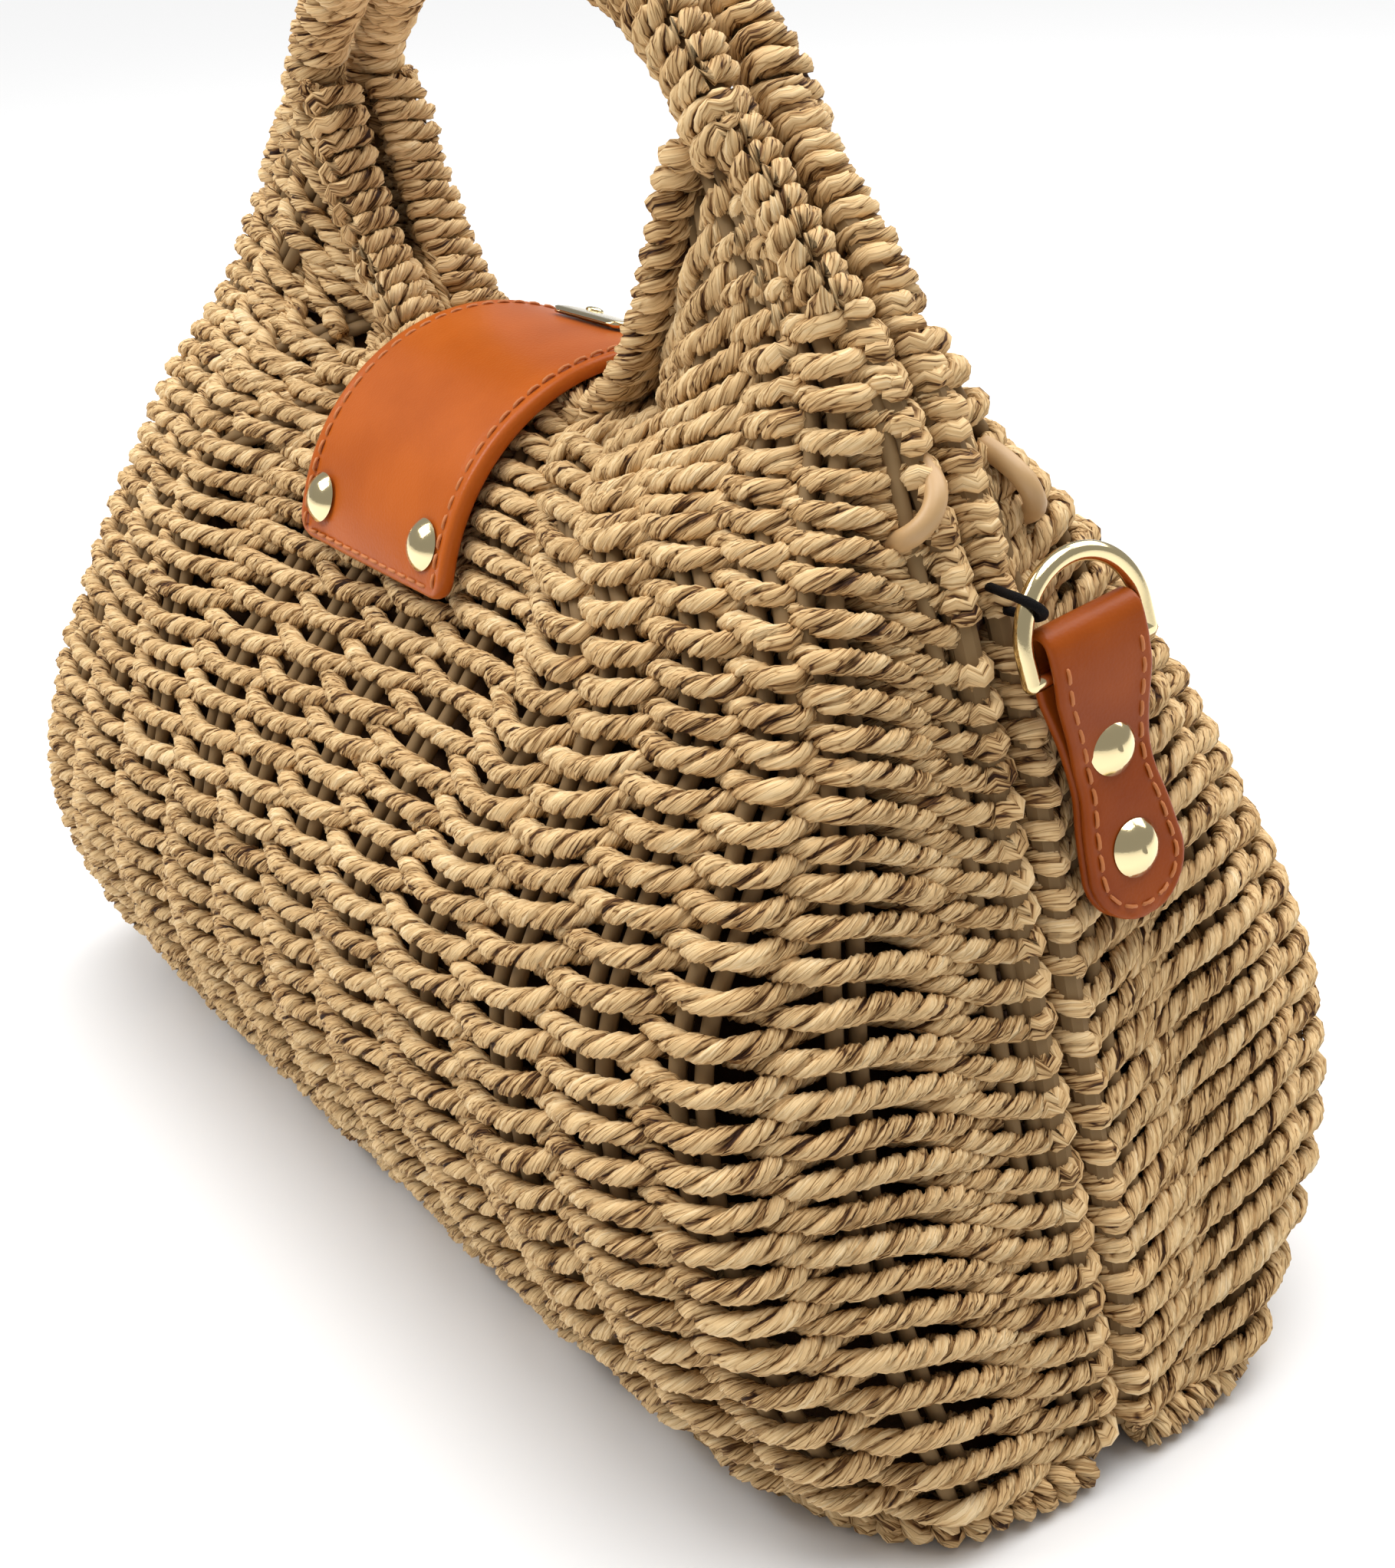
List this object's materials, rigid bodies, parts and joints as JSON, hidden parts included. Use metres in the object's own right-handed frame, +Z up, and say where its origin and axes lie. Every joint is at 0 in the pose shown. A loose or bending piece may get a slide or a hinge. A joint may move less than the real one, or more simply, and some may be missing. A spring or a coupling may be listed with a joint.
{
  "type": "wicker handbag",
  "caption": "Clam-shell woven rope handbag hinged along its base, with twin handle arches, a leather flap and side tabs with D-rings.",
  "frame": {"origin": "middle of the base on the parting line between the two shells", "axes": "+X along the bag's length, +Y from the rear shell to the front shell, +Z up"},
  "size_m": [0.326, 0.1584, 0.2546],
  "materials": {
    "rope": "natural, coarse",
    "rod": "satin",
    "cloth": "matt",
    "flap_leather": "smooth, semi-gloss",
    "tab_leather": "smooth, semi-gloss",
    "gold": "polished, pale gold",
    "steel": "plain",
    "magnet": "plain",
    "cord": "matt black"
  },
  "bodies": {
    "rear_shell": {"rear_weave": "rope", "rear_base_border": "rope", "rear_frame_hoop": "rod", "rear_stakes": "rod", "rear_crest_rim": "rope", "rear_handle_wrap": "rope", "rear_lining": "cloth", "flap_foot": "flap_leather", "flap_rivets": "gold", "flap_rivet_washers": "steel", "hinge_loops": "tab_leather"},
    "front_shell": {"front_weave": "rope", "front_base_border": "rope", "front_frame_hoop": "rod", "front_stakes": "rod", "front_crest_rim": "rope", "front_handle_wrap": "rope", "front_lining": "cloth", "catch_magnet": "magnet", "catch_washer": "steel", "left_tab": "tab_leather", "right_tab": "tab_leather", "tab_rivets": "gold", "tab_rivet_washers": "steel", "stay_cord": "cord"},
    "flap": {"flap": "flap_leather", "closure_plate": "gold", "closure_studs": "gold", "flap_magnet": "magnet"},
    "left_d_ring": {"left_d_ring": "gold"},
    "right_d_ring": {"right_d_ring": "gold"}
  },
  "joints": [
    {"name": "shell_open", "type": "hinge", "parent": "rear_shell", "child": "front_shell", "pos_m": [0, 0, 0.0046], "axis": [-1, 0, 0], "range_deg": [0, 50], "deforming": ["hinge_loops"]},
    {"name": "flap_lift", "type": "hinge", "parent": "rear_shell", "child": "flap", "pos_m": [0, -0.03791, 0.15362], "axis": [1, 0, 0], "range_deg": [0, 170]},
    {"name": "left_ring_swing", "type": "hinge", "parent": "front_shell", "child": "left_d_ring", "pos_m": [-0.13626, 0.0128, 0.14059], "axis": [0.0082, -0.9915, -0.1296], "range_deg": [0, 150]},
    {"name": "right_ring_swing", "type": "hinge", "parent": "front_shell", "child": "right_d_ring", "pos_m": [0.13626, 0.0128, 0.14059], "axis": [0.0082, 0.9915, 0.1296], "range_deg": [0, 150], "deforming": ["stay_cord"]}
  ],
  "couplings": [
    {"joint": "flap_lift", "follows": "shell_open", "ratio": 3.4}
  ]
}
